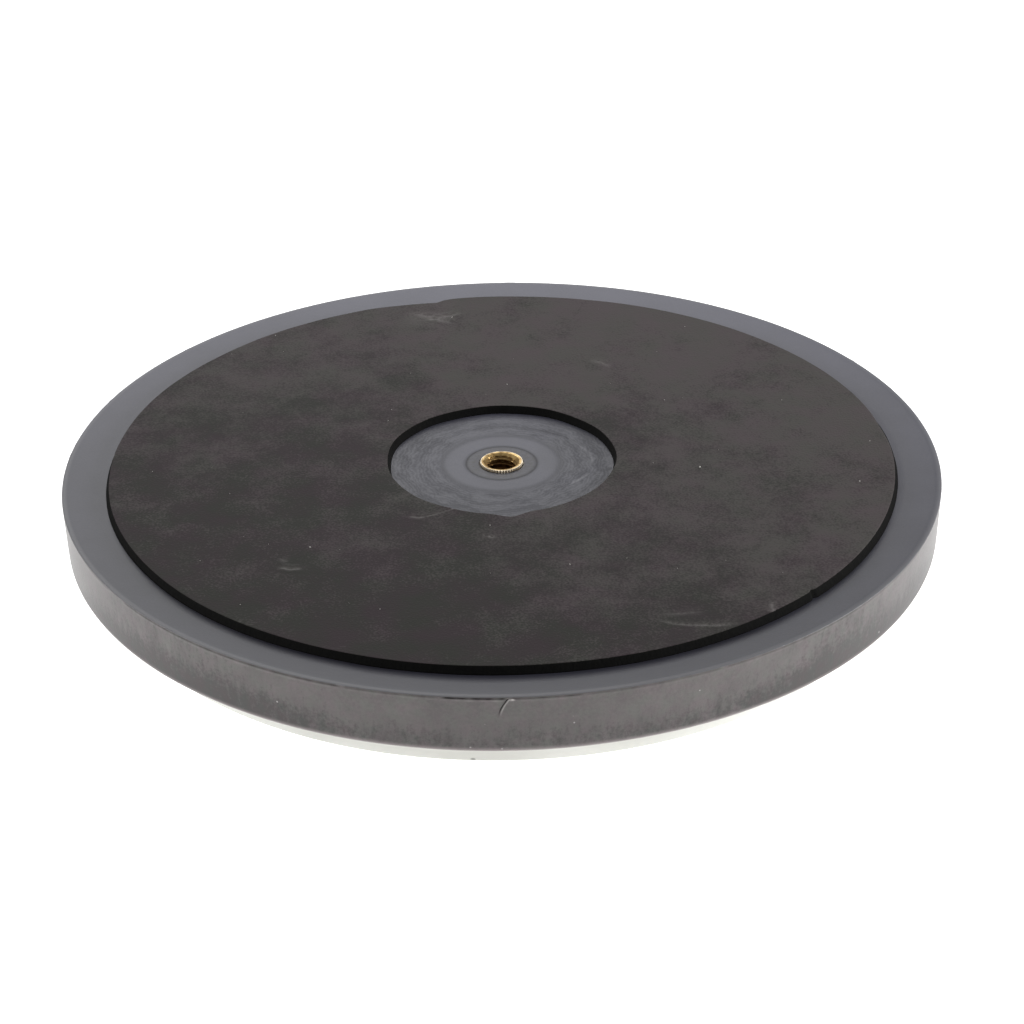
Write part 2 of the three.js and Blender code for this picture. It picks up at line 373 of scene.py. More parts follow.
# %% Tree: turn a half section
def turning_tree():
    tree, given = new_tree("turn_half_section", [
        ("Columns", "Int", 128),
        ("Crowding", "Float", 0.0),
        ("Crowding Angle", "Float", 0.0),
        ("Waviness", "Float", 0.0),
        ("Wave Size", "Float", 0.05),
        ("Material", "Material", None),
    ])
    size = node(tree, "GeometryNodeAttributeDomainSize", {"Geometry": given["Geometry"]})
    points = size.outputs["Point Count"]
    rows = node(tree, "ShaderNodeMath", {0: given["Columns"], 1: 1.0}, operation="ADD")
    grid = node(
        tree, "GeometryNodeMeshGrid",
        {"Size X": 1.0, "Size Y": 1.0, "Vertices X": rows, "Vertices Y": points},
    )
    # The grid counts its points column by column, so the index gives both the place in the
    # section and the turn.
    index = node(tree, "GeometryNodeInputIndex")
    ratio = node(tree, "ShaderNodeMath", {0: index, 1: points}, operation="DIVIDE")
    column = node(tree, "ShaderNodeMath", {0: ratio}, operation="FLOOR")
    place = node(tree, "ShaderNodeMath", {0: index, 1: points}, operation="MODULO")
    share = node(tree, "ShaderNodeMath", {0: column, 1: given["Columns"]}, operation="DIVIDE")
    even = node(tree, "ShaderNodeMath", {0: share, 1: math.tau}, operation="MULTIPLY")
    # Taking a sine from an even angle crowds the columns where the sine is zero.
    from_crowd = node(
        tree, "ShaderNodeMath", {0: even, 1: given["Crowding Angle"]}, operation="SUBTRACT"
    )
    sine = node(tree, "ShaderNodeMath", {0: from_crowd}, operation="SINE")
    pull = node(tree, "ShaderNodeMath", {0: sine, 1: given["Crowding"]}, operation="MULTIPLY")
    angle = node(tree, "ShaderNodeMath", {0: even, 1: pull}, operation="SUBTRACT")
    here = node(tree, "GeometryNodeInputPosition")
    section = node(
        tree, "GeometryNodeSampleIndex",
        {"Geometry": given["Geometry"], "Value": here, "Index": place},
        data_type="FLOAT_VECTOR", domain="POINT",
    )
    turned = node(
        tree, "ShaderNodeVectorRotate", {"Vector": section, "Axis": (0, 0, 1), "Angle": angle},
        rotation_type="AXIS_ANGLE",
    )
    zone_name = node(tree, "GeometryNodeInputNamedAttribute", {"Name": "zone"}, data_type="FLOAT")
    zone = node(
        tree, "GeometryNodeSampleIndex",
        {"Geometry": given["Geometry"], "Value": zone_name.outputs["Attribute"], "Index": place},
        data_type="FLOAT", domain="POINT",
    )
    zoned = node(
        tree, "GeometryNodeStoreNamedAttribute",
        {"Geometry": grid.outputs["Mesh"], "Name": "zone", "Value": zone},
        data_type="FLOAT", domain="POINT",
    )
    shaped = node(tree, "GeometryNodeSetPosition", {"Geometry": zoned, "Position": turned})
    closed = node(tree, "GeometryNodeMergeByDistance", {"Geometry": shaped, "Distance": 1e-6})
    wave_scale = node(tree, "ShaderNodeMath", {0: 1.0, 1: given["Wave Size"]}, operation="DIVIDE")
    wave = node(tree, "ShaderNodeTexNoise", {"Vector": here, "Scale": wave_scale, "Detail": 2.0})
    centred = node(tree, "ShaderNodeMath", {0: wave, 1: 0.5}, operation="SUBTRACT")
    depth = node(tree, "ShaderNodeMath", {0: centred, 1: given["Waviness"]}, operation="MULTIPLY")
    normal = node(tree, "GeometryNodeInputNormal")
    offset = node(tree, "ShaderNodeVectorMath", {0: normal, "Scale": depth}, operation="SCALE")
    waved = node(tree, "GeometryNodeSetPosition", {"Geometry": closed, "Offset": offset})
    close_tree(tree, waved, given)
    return tree


turning = turning_tree()
print(turning.name, "has", len(turning.nodes), "nodes")

# %% [markdown]
# A tree only describes a shape. This cell hangs it on an object, sets its named inputs, and
# keeps the result as a plain mesh, so that nothing is left to be worked out later.

# %% Grow a mesh from a tree
def grown(name, start, tree, **values):
    """An object whose mesh is what the tree makes of the mesh start."""
    obj = bpy.data.objects.new(name, start)
    bpy.context.scene.collection.objects.link(obj)
    modifier = obj.modifiers.new(tree.name, "NODES")
    modifier.node_group = tree
    for item in tree.interface.items_tree:
        key = item.name.replace(" ", "_")
        if item.item_type == "SOCKET" and item.in_out == "INPUT" and key in values:
            modifier[item.identifier] = values[key]
    seen = obj.evaluated_get(bpy.context.evaluated_depsgraph_get())
    mesh = bpy.data.meshes.new_from_object(seen)
    mesh.materials.clear()
    mesh.materials.append(values["Material"])
    mesh.polygons.foreach_set("material_index", np.zeros(len(mesh.polygons), dtype=np.int32))
    obj.modifiers.clear()
    obj.data = mesh
    mesh.name = name
    return obj


def section_mesh(points, zones=None):
    """A half section: (radius, height) points joined in order, each with a zone number."""
    mesh = bpy.data.meshes.new("half_section")
    edges = [(i, i + 1) for i in range(len(points) - 1)]
    mesh.from_pydata([(r, 0.0, z) for r, z in points], edges, [])
    zone = mesh.attributes.new("zone", "FLOAT", "POINT")
    zone.data.foreach_set("value", zones or [0.0] * len(points))
    return mesh


def between(start, end, steps):
    """Points of a straight run, without its last one."""
    return [
        tuple(a + (b - a) * i / steps for a, b in zip(start, end, strict=True)) for i in range(steps)
    ]


def arc(centre, radius, start, end, steps):
    """Points of an arc, given in degrees, with both ends."""
    turns = [math.radians(start + (end - start) * i / steps) for i in range(steps + 1)]
    return [(centre[0] + radius * math.cos(t), centre[1] + radius * math.sin(t)) for t in turns]


# %% [markdown]
# After the tree has made a plain mesh, small one-off marks are easier to add in numpy, which
# moves all the vertices at once. A mark may also be written to an attribute that a material
# reads, so that colour and shape agree.

# %% Read and write vertices
def vertices(obj):
    flat = np.empty(3 * len(obj.data.vertices), dtype=np.float32)
    obj.data.vertices.foreach_get("co", flat)
    return flat.reshape(-1, 3).astype(float)


def set_vertices(obj, points):
    obj.data.vertices.foreach_set("co", points.astype(np.float32).ravel())
    obj.data.update()


def set_attribute(obj, name, values):
    attribute = obj.data.attributes.new(name, "FLOAT", "POINT")
    attribute.data.foreach_set("value", values.astype(np.float32))


def report_mesh(obj):
    """Prints a piece's size, and its volume, which is negative if it is inside out."""
    mesh = obj.data
    mesh.calc_loop_triangles()
    corners = np.empty(3 * len(mesh.loop_triangles), dtype=np.int32)
    mesh.loop_triangles.foreach_get("vertices", corners)
    a, b, c = vertices(obj)[corners.reshape(-1, 3)].transpose(1, 0, 2)
    volume = np.einsum("ij,ij->i", a, np.cross(b, c)).sum() / 6
    print(f"{obj.name}: {len(mesh.loop_triangles)} triangles, {volume / MM**3 / 1000:.2f} cm3")


# %% [markdown]
# ## The rubber body
# The body is one moulding: a cup, open below for the stiff core. Its back is slightly dished,
# so the rim stands just under a millimetre above the floor. The rim's outer part, the crown,
# rolls over in a wide arc to the edge. The wall leans in a little towards a rounded foot, which
# lets it leave the mould. Shallow rings round the insert are witness marks of the mould's pin.

# %% Section of the body
FOOT_ROUND = 1.8 * MM
FOOT_RADIUS = BODY_RADIUS - 0.4 * MM
EDGE_ROUND = 0.2 * MM
CROWN_ROUND = 3.6 * MM
CROWN_END = 78
FLOOR_EDGE = 92.5 * MM
CAVITY_RADIUS = 90.3 * MM
CAVITY_ROOF = FLOOR - 3.8 * MM
# The nick and the knife's step need close rows of points this far below the edge.
STEP_DEPTH = 1.3 * MM
NICK_END = 4.8 * MM
# Radius, depth, width and darkness of each witness ring.
WITNESS_RINGS = [
    (6.2 * MM, 0.02 * MM, 1.3 * MM, 0.12),
    (8.25 * MM, 0.08 * MM, 0.4 * MM, 0.6),
    (13.8 * MM, 0.06 * MM, 0.8 * MM, 0.3),
]
BORE = BUSH_RADIUS + 0.02 * MM


def wall_point(below):
    """The point of the wall that far below the back's edge. The wall leans in as it goes down."""
    lean = (BODY_RADIUS - FOOT_RADIUS) * below / (BODY_TOP - BODY_BOTTOM - FOOT_ROUND)
    return (BODY_RADIUS - lean, BODY_TOP - below)


crown_turn = math.radians(CROWN_END)
crown_to_edge = CROWN_ROUND - EDGE_ROUND
crown_centre = (BODY_RADIUS - EDGE_ROUND - crown_to_edge * math.cos(crown_turn), BODY_TOP - CROWN_ROUND)
edge_centre = (BODY_RADIUS - EDGE_ROUND, crown_centre[1] + crown_to_edge * math.sin(crown_turn))
CROWN_DROP = CROWN_ROUND * (1 - math.sin(crown_turn))
body_section = [
    *between((CAVITY_RADIUS, BODY_BOTTOM), (FOOT_RADIUS - FOOT_ROUND, BODY_BOTTOM), 6),
    *arc((FOOT_RADIUS - FOOT_ROUND, BODY_BOTTOM + FOOT_ROUND), FOOT_ROUND, -90, 0, 9),
    *between((FOOT_RADIUS, BODY_BOTTOM + FOOT_ROUND), wall_point(NICK_END), 12)[1:],
    *between(wall_point(NICK_END), wall_point(STEP_DEPTH), 14),
    *between(wall_point(STEP_DEPTH), (BODY_RADIUS, edge_centre[1]), 10),
    *arc(edge_centre, EDGE_ROUND, 0, CROWN_END, 4)[:-1],
    *arc(crown_centre, CROWN_ROUND, CROWN_END, 90, 7),
    *between((crown_centre[0], BODY_TOP), (FLOOR_EDGE, FLOOR), 8)[1:],
    *between((FLOOR_EDGE, FLOOR), (OPEN_FLOOR, FLOOR), 8),
    *between((OPEN_FLOOR, FLOOR), (BORE, FLOOR), 50),
    *between((BORE, FLOOR), (BORE, CAVITY_ROOF), 3),
    *between((BORE, CAVITY_ROOF), (CAVITY_RADIUS, CAVITY_ROOF), 3),
    *between((CAVITY_RADIUS, CAVITY_ROOF), (CAVITY_RADIUS, BODY_BOTTOM), 2),
    (CAVITY_RADIUS, BODY_BOTTOM),
]
print(len(body_section), "points in the body's section")

# %% Turn the body
FRONT = math.radians(-90)
body = grown(
    "moulded_body", section_mesh(body_section), turning,
    Columns=700, Crowding=0.86, Crowding_Angle=FRONT, Waviness=0.12 * MM, Wave_Size=30 * MM,
    Material=satin,
)
report_mesh(body)

# %% [markdown]
# The marks of making and use: a curved nick in the wall that starts at the edge, the step that
# the knife left where it trimmed the edge, the witness rings, and thin scratches on the floor.
# Each moves the surface and is also written down as a dark or pale mark. The nick's cut and the
# knife's step are painted dark as painted shade, and the nick's lip and chip are painted pale as
# painted highlights.

# %% Marks on the body
def bell(distance, width):
    """1 at distance 0, falling smoothly to nothing past twice the width."""
    return np.exp(-((distance / width) ** 2))


def distance_to_path(x, y, path):
    """How far each point is from a path, and how far along the path, from 0 to 1."""
    nearest = np.full(x.shape, 1e9)
    share = np.zeros(x.shape)
    lengths = [math.dist(a, b) for a, b in zip(path, path[1:])]
    done = 0.0
    for (ax, ay), (bx, by), length in zip(path, path[1:], lengths):
        t = np.clip(((x - ax) * (bx - ax) + (y - ay) * (by - ay)) / length**2, 0, 1)
        away = np.hypot(x - ax - t * (bx - ax), y - ay - t * (by - ay))
        closer = away < nearest
        nearest = np.where(closer, away, nearest)
        share = np.where(closer, (done + t * length) / sum(lengths), share)
        done += length
    return nearest, share


NICK_ANGLE = math.radians(-89.55)
NICK_DEPTH = 4.6 * MM
NICK_DRIFT = -2.2 * MM
# Stretches of the edge with a step painted dark as painted shade: first and last degree, and how dark.
EDGE_STEPS = [
    (206, 214, 0.4), (217, 251, 0.6), (251, 262.5, 0.4), (262.5, 270.3, 1.0), (270.3, 279, 0.55),
    (279, 296, 0.3), (296, 334, 0.35),
]
# Scratches on the floor inside the ring, in millimetres, with their darkness.
SCRATCHES = [
    ([(15.2, -11.5), (18.0, -8.6), (20.5, -5.4)], -0.5),
    ([(18.0, 9.0), (20.8, 4.0), (21.4, -1.5)], -0.3),
    ([(9.0, 16.5), (14.0, 13.5), (17.5, 10.0)], 0.3),
    ([(-21.0, 4.0), (-19.0, 9.5), (-14.5, 14.0)], 0.35),
]


def nick_marks(angle, below):
    """How deep the nick is at each point of the wall, and how dark. The cut is painted dark as painted
    shade, the lip and the chip pale as painted highlights.
    """
    along = (angle - NICK_ANGLE) * BODY_RADIUS
    share = np.clip(below / NICK_DEPTH, 0, 1)
    # The nick curves: it leans to one side at first and then runs straight down.
    path = NICK_DRIFT * (1 - (1 - share) ** 1.7)
    fade = np.clip((NICK_DEPTH - below) / (1.8 * MM), 0, 1) * np.clip(below / (0.3 * MM) - 1, 0, 1)
    cut_and_shade = fade * bell(along - path, 0.14 * MM)
    lip_highlight = fade * bell(along - path - 0.34 * MM, 0.16 * MM)
    chip_highlight = bell(along - 0.6 * MM, 0.42 * MM) * bell(below - 0.66 * MM, 0.2 * MM)
    return 0.25 * MM * cut_and_shade - 0.1 * MM * lip_highlight + 0.1 * MM * chip_highlight, 0.9 * cut_and_shade - 0.45 * lip_highlight - chip_highlight


def edge_marks(angle, below):
    """The knife's step just under the edge: how deep, and how dark. The darkness is painted shade in
    the step.
    """
    degrees = np.degrees(angle) % 360
    strength = np.zeros(angle.shape)
    for first, last, darkness in EDGE_STEPS:
        inside = np.clip((degrees - first) * 1.5, 0, 1) * np.clip((last - degrees) * 1.5, 0, 1)
        strength = np.maximum(strength, inside * darkness)
    uneven = 0.75 + 0.25 * np.sin(angle * 171) * np.sin(angle * 67 + 1.3)
    step_and_shade = bell(below - 0.34 * MM, 0.19 * MM) * np.minimum(strength * uneven * 1.25, 1.2)
    under = bell(below - 0.85 * MM, 0.2 * MM) * strength * (1 - uneven)
    return 0.05 * MM * step_and_shade, step_and_shade - 0.3 * under


def mark_body(points):
    """Moves the points for every mark, and says how dark or pale each point has become."""
    x, y, z = points.T
    radius = np.hypot(x, y)
    angle = np.arctan2(y, x)
    below = BODY_TOP - CROWN_DROP - z
    on_wall = (radius > BODY_RADIUS - 0.8 * MM) & (z > BODY_BOTTOM + 1 * MM)
    sink = np.zeros(len(points))
    mark = np.zeros(len(points))
    for depth, darkness in (nick_marks(angle, below), edge_marks(angle, below)):
        sink += on_wall * depth
        mark += on_wall * darkness
    on_floor = (z > FLOOR - 0.5 * MM) & (radius < 27 * MM)
    for ring_radius, depth, width, darkness in WITNESS_RINGS:
        ring = on_floor * bell(radius - ring_radius, width)
        z = z - ring * depth
        mark += darkness * ring
    for path, darkness in SCRATCHES:
        away, share = distance_to_path(x, y, [(px * MM, py * MM) for px, py in path])
        line = on_floor * bell(away, 0.3 * MM) * np.clip(4 * np.minimum(share, 1 - share), 0, 1)
        z = z - line * 0.02 * MM
        mark += darkness * line
    scale = (radius - sink) / radius
    return np.stack([x * scale, y * scale, z], axis=-1), np.clip(mark, -1, 1)


moved, mark = mark_body(vertices(body))
set_vertices(body, moved)
set_attribute(body, "mark", mark)

# %% [markdown]
# The back and the wall have different finishes, and the line between them is the sharp edge of
# the rim. Faces that look sideways or down take the second material.

# %% Two finishes on one piece
def side_finish(obj, material):
    """Gives the faces that don't look up a second material."""
    obj.data.materials.append(material)
    normals = np.empty(3 * len(obj.data.polygons), dtype=np.float32)
    obj.data.polygons.foreach_get("normal", normals)
    looks_up = normals.reshape(-1, 3)[:, 2] > 0.7
    obj.data.polygons.foreach_set("material_index", np.where(looks_up, 0, 1).astype(np.int32))
    print(f"{obj.name}: {looks_up.sum()} faces look up, {(~looks_up).sum()} do not")


def smooth_but_for(obj, low, high, reach):
    """Smooth shading, except on the faces between two heights further out than reach."""
    obj.data.shade_smooth()
    centres = np.empty(3 * len(obj.data.polygons), dtype=np.float32)
    obj.data.polygons.foreach_get("center", centres)
    x, y, z = centres.reshape(-1, 3).T
    crisp = (z > low) & (z < high) & (np.hypot(x, y) > reach)
    obj.data.polygons.foreach_set("use_smooth", ~crisp)
    print(f"{obj.name}: {crisp.sum()} crisp faces")


side_finish(body, matt)
# The edge's own small round stays crisp, so that it shades neither of its neighbours.
smooth_but_for(body, edge_centre[1], BODY_TOP - CROWN_DROP, BODY_RADIUS - 0.3 * MM)
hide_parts("rubber_body")
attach(body, "root")

# %% [markdown]
# ## Finish and shape of the foam ring
# The ring is die-cut from fine closed-cell foam sheet with glue on one side. Its skin is dull,
# dusty and a little warm; the cut edge is blacker, because it is fresh foam with no skin.

# %% Sheet foam
def sheet_foam():
    # Dust on the skin scatters light at grazing angles.
    material, tree, shader, place = new_material(
        "foam_closed_cell_sheet", Roughness=0.8, Specular_IOR_Level=0.25, Sheen_Weight=0.06,
        Sheen_Roughness=0.4,
    )
    # Painted light: the skin is painted paler towards the back right.
    painted_light_side = painted_light_ramp(tree, place, (0.55, 0.83, 0.0))
    # Grain size in millimetres, detail and roughness of each pattern.
    broad, blotch, cells, hue, scuffing = [
        node(
            tree, "ShaderNodeTexNoise",
            {"Vector": place, "Scale": 1 / (size * MM), "Detail": detail, "Roughness": roughness},
        )
        for size, detail, roughness in (
            (42, 2.0, 0.5), (12, 6.0, 0.65), (0.5, 1.0, 0.5), (9, 3.0, 0.5), (0.9, 2.0, 0.5)
        )
    ]
    tone = weighted(tree, (painted_light_side, 1.6), (broad, 1.2), (blotch, 3.1), (cells, 2.1))
    # The skin is faintly violet in places and faintly green in others.
    tint = two_tone(tree, hue, 0.35, 0.65, "#30322a", "#3b2d33")
    rub = node(tree, "ShaderNodeAttribute", attribute_name="rub").outputs["Fac"]
    scuffs = node(tree, "ShaderNodeMapRange", {"Value": scuffing, 1: 0.3, 2: 0.6, 3: 0.35})
    rub_here = node(tree, "ShaderNodeMath", {0: rub, 1: scuffs}, operation="MULTIPLY")
    colour = coats(tree, "#1e1b1c", (tone, "#504b4b"), (0.45, tint), (rub_here, "#8a8684"))
    bump = node(tree, "ShaderNodeBump", {"Height": cells, "Strength": 0.6, "Distance": 0.1 * MM})
    feed(tree, shader, {"Base Color": colour, "Normal": bump})
    return material


def cut_foam():
    material, tree, shader, place = new_material(
        "foam_die_cut_edge", Roughness=0.95, Specular_IOR_Level=0.1
    )
    upright = node(tree, "ShaderNodeMapping", {"Vector": place, "Scale": (1.0, 1.0, 0.25)})
    torn = node(tree, "ShaderNodeTexNoise", {"Vector": upright, "Scale": 1 / (0.5 * MM), "Detail": 3.0})
    bump = node(tree, "ShaderNodeBump", {"Height": torn, "Strength": 0.6, "Distance": 0.15 * MM})
    feed(tree, shader, {"Base Color": coats(tree, "#050505", (torn, "#141413")), "Normal": bump})
    return material


foam_skin = sheet_foam()
foam_cut = cut_foam()
print("foam finishes:", foam_skin.name, "and", foam_cut.name)

# %% Section of the foam ring
FOAM_FOOT = FLOOR + 0.02 * MM
FOAM_LEAN = 0.7 * MM
HOLE_FOOT = 25.9 * MM
HOLE_TOP = 26.6 * MM
ROUND = 0.2 * MM
outer_top = FOAM_RADIUS - FOAM_LEAN
foam_section = [
    *between((FOAM_RADIUS, FOAM_FOOT), (outer_top, FOAM_TOP - ROUND), 8),
    *arc((outer_top - ROUND, FOAM_TOP - ROUND), ROUND, 0, 90, 4)[:-1],
    *between((outer_top - ROUND, FOAM_TOP), (HOLE_TOP + ROUND, FOAM_TOP), 230),
    *arc((HOLE_TOP + ROUND, FOAM_TOP - ROUND), ROUND, 90, 180, 4)[:-1],
    *between((HOLE_TOP, FOAM_TOP - ROUND), (HOLE_FOOT, FOAM_FOOT), 8),
    *between((HOLE_FOOT, FOAM_FOOT), (FOAM_RADIUS, FOAM_FOOT), 4),
    (FOAM_RADIUS, FOAM_FOOT),
]
print(len(foam_section), "points in the foam's section")

# %% Turn the foam ring
foam = grown(
    "foam_ring_detail", section_mesh(foam_section), turning,
    Columns=960, Crowding=0.5, Crowding_Angle=FRONT, Waviness=0.3 * MM, Wave_Size=26 * MM,
    Material=foam_skin,
)
report_mesh(foam)

# %% [markdown]
# The foam has been folded, pressed and scraped. Each mark is a short list of points across the
# skin, and one function turns it into a groove with a raised side. The same function says how
# rubbed, and so how pale, the skin is there.

# %% Creases and dents
# Paths in millimetres on the pad, then width and depth in millimetres, then paleness.
CREASES = [
    # a long bend by the hole, with a crushed spot at its end
    ([(-18.6, -28.2), (-15.7, -27.2), (-12.8, -25.4), (-9.3, -23.0)], 0.3, 0.1, 0.22),
    ([(-21.0, -27.6), (-18.6, -28.2), (-17.2, -28.0)], 0.45, 0.12, 0.3),
    # two crumpled strokes that cross near the back edge
    ([(-22.3, 82.5), (-19.0, 79.8), (-16.6, 78.0), (-13.5, 76.0), (-11.7, 74.5)], 0.75, 0.2, 0.24),
    ([(-9.4, 82.4), (-11.9, 80.2), (-16.6, 78.0), (-19.6, 76.6)], 0.65, 0.16, 0.22),
    ([(-25.0, 80.0), (-17.0, 79.0), (-10.5, 78.5)], 3.2, 0.1, 0.14),
    # a finger nail's dent
    ([(-48.6, -49.0), (-45.8, -50.1), (-43.3, -49.8)], 0.5, 0.25, 0.42),
    ([(-48.5, -45.5), (-46.8, -47.2)], 0.45, 0.1, 0.22),
    # a long scrape near the front edge, and a fainter one beside it
    ([(31.6, -73.6), (35.0, -75.3), (38.7, -76.0), (44.7, -76.3), (48.7, -75.7)], 0.28, 0.1, 0.42),
    ([(32.4, -71.6), (37.0, -71.4), (41.6, -70.7)], 0.5, 0.05, 0.18),
    ([(56.6, -67.1), (56.2, -69.3), (56.6, -71.6)], 0.3, 0.12, 0.5),
    ([(55.1, -70.3), (56.6, -71.8)], 0.25, 0.08, 0.3),
    ([(58.2, -71.0), (61.0, -69.8)], 0.22, 0.06, 0.25),
    # small cuts by the V of the hole
    ([(-3.4, -36.9), (-2.4, -37.9), (-1.6, -37.1)], 0.25, 0.1, 0.5),
    ([(-4.4, -36.2), (-3.7, -37.4)], 0.22, 0.08, 0.3),
    ([(22.6, 51.6), (25.6, 49.4), (27.9, 46.8)], 0.7, 0.04, 0.22),
]


def crease_foam(points):
    x, y, z = points.T
    skin = z > FOAM_TOP - 0.6 * MM
    rise = np.zeros(len(points))
    pale = np.zeros(len(points))
    for path, width, depth, paleness in CREASES:
        metres = [(px * MM, py * MM) for px, py in path]
        away, share = distance_to_path(x, y, metres)
        fade = np.clip(np.minimum(share, 1 - share) * 4 + 0.1, 0, 1)
        groove = bell(away, width * MM)
        shoulder = bell(away - 2 * width * MM, width * MM)
        rise += fade * depth * MM * (0.4 * shoulder - groove)
        pale += fade * paleness * (groove + 0.25 * shoulder)
    moved = points.copy()
    moved[:, 2] += np.where(skin, rise, 0.0)
    return moved, np.where(skin, np.clip(pale, 0, 1), 0.0)


moved, rub = crease_foam(vertices(foam))

# %% [markdown]
# The die left a small V in the near side of the hole, and the outer edge has a shallow notch at
# the back left. The whole ring was also laid a little off centre.

# %% Uneven cut edges
def wander_edges(points):
    x, y, z = points.T
    radius = np.hypot(x, y)
    angle = np.arctan2(y, x)
    hole_share = np.clip(1 - (radius - HOLE_FOOT) / (6 * MM), 0, 1)
    outer_share = np.clip(1 - (FOAM_RADIUS - radius) / (8 * MM), 0, 1)
    cusp = bell(angle - math.radians(-86), 0.11) * 1.9 * MM
    bulge = bell(angle - math.radians(-95), 0.35) * 0.6 * MM
    # The notch deepens slowly and ends in a sharp step.
    past = np.degrees(angle) - 100.4
    notch = np.where(past > 0, np.clip(1 - past / 11, 0, 1), np.exp(past / 1.3)) * 2.0 * MM
    height = np.clip((z - FOAM_FOOT) / (FOAM_TOP - FOAM_FOOT), 0, 1)
    undercut = bell(angle - math.radians(8), 0.07) * (0.25 - 0.6 * height) * MM
    nick = bell(angle - math.radians(-44), 0.006) * 0.5 * MM
    ripple = 0.25 * MM * (np.sin(5 * angle + 1) + 0.6 * np.sin(11 * angle + 2))
    grow = hole_share * (cusp + bulge + 0.5 * ripple)
    grow -= outer_share * (notch + nick - undercut - 0.3 * ripple)
    scale = (radius + grow) / radius
    return np.stack([x * scale, y * scale + FOAM_SHIFT, z], axis=-1)


set_vertices(foam, wander_edges(moved))
set_attribute(foam, "rub", rub)
side_finish(foam, foam_cut)
foam.data.shade_smooth()
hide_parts("foam_ring")
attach(foam, "root")

# %% [markdown]
# ## The brass insert
# The insert is a bush turned from brass bar: knurled outside, so that the rubber and the core
# grip it, and threaded M8 inside. Turning gives the plain bush. A second tree cuts it: the
# knurl is a wave round the axis, and the thread is a wave that also climbs with the turn.

# %% Machined brass
def machined_brass():
    material, tree, shader, place = new_material("brass_machined", Roughness=0.3, Metallic=1.0)
    # Patches of tarnish 1.1 mm across.
    tarnish = node(tree, "ShaderNodeTexNoise", {"Vector": place, "Scale": 900.0, "Detail": 4.0})
    tone = two_tone(tree, tarnish, 0.35, 0.65, "#8a6f46", "#c8ab76")
    # The lip and the knurl's outside are painted pale as a painted highlight. The thread is painted
    # darker further down, as painted shade in the bore.
    lip_highlight = node(tree, "ShaderNodeMapRange", {"Value": from_axis(tree, place), 1: 4.65 * MM, 2: 4.8 * MM})
    height = node(tree, "ShaderNodeSeparateXYZ", {"Vector": place}).outputs["Z"]
    bore_shade = node(
        tree, "ShaderNodeMapRange", {"Value": height, 1: BUSH_TOP - 0.8 * MM, 2: BUSH_TOP - 2.8 * MM}
    )
    # Turning marks: rings about the axis, 0.2 mm apart.
    rings = node(
        tree, "ShaderNodeTexWave", {"Vector": place, "Scale": 1600.0, "Distortion": 0.5},
        wave_type="RINGS", rings_direction="Z",
    ).outputs["Fac"]
    feed(tree, shader, {
        "Base Color": coats(tree, tone, (lip_highlight, "#d8ccb6"), (bore_shade, "#755234")),
        "Metallic": node(tree, "ShaderNodeMapRange", {"Value": lip_highlight, 3: 1.0, 4: 0.5}),
        "Roughness": node(
            tree, "ShaderNodeMapRange", {"Value": tarnish, 1: 0.3, 2: 0.7, 3: 0.5, 4: 0.3}
        ),
        "Normal": node(
            tree, "ShaderNodeBump", {"Height": rings, "Strength": 0.15, "Distance": 0.02 * MM}
        ),
    })
    return material


brass = machined_brass()
print(brass.name, "has", len(brass.node_tree.nodes), "nodes")

# %% Tree: cut a knurl and a thread
PLAIN, KNURLED, THREADED = 0.0, 1.0, 2.0


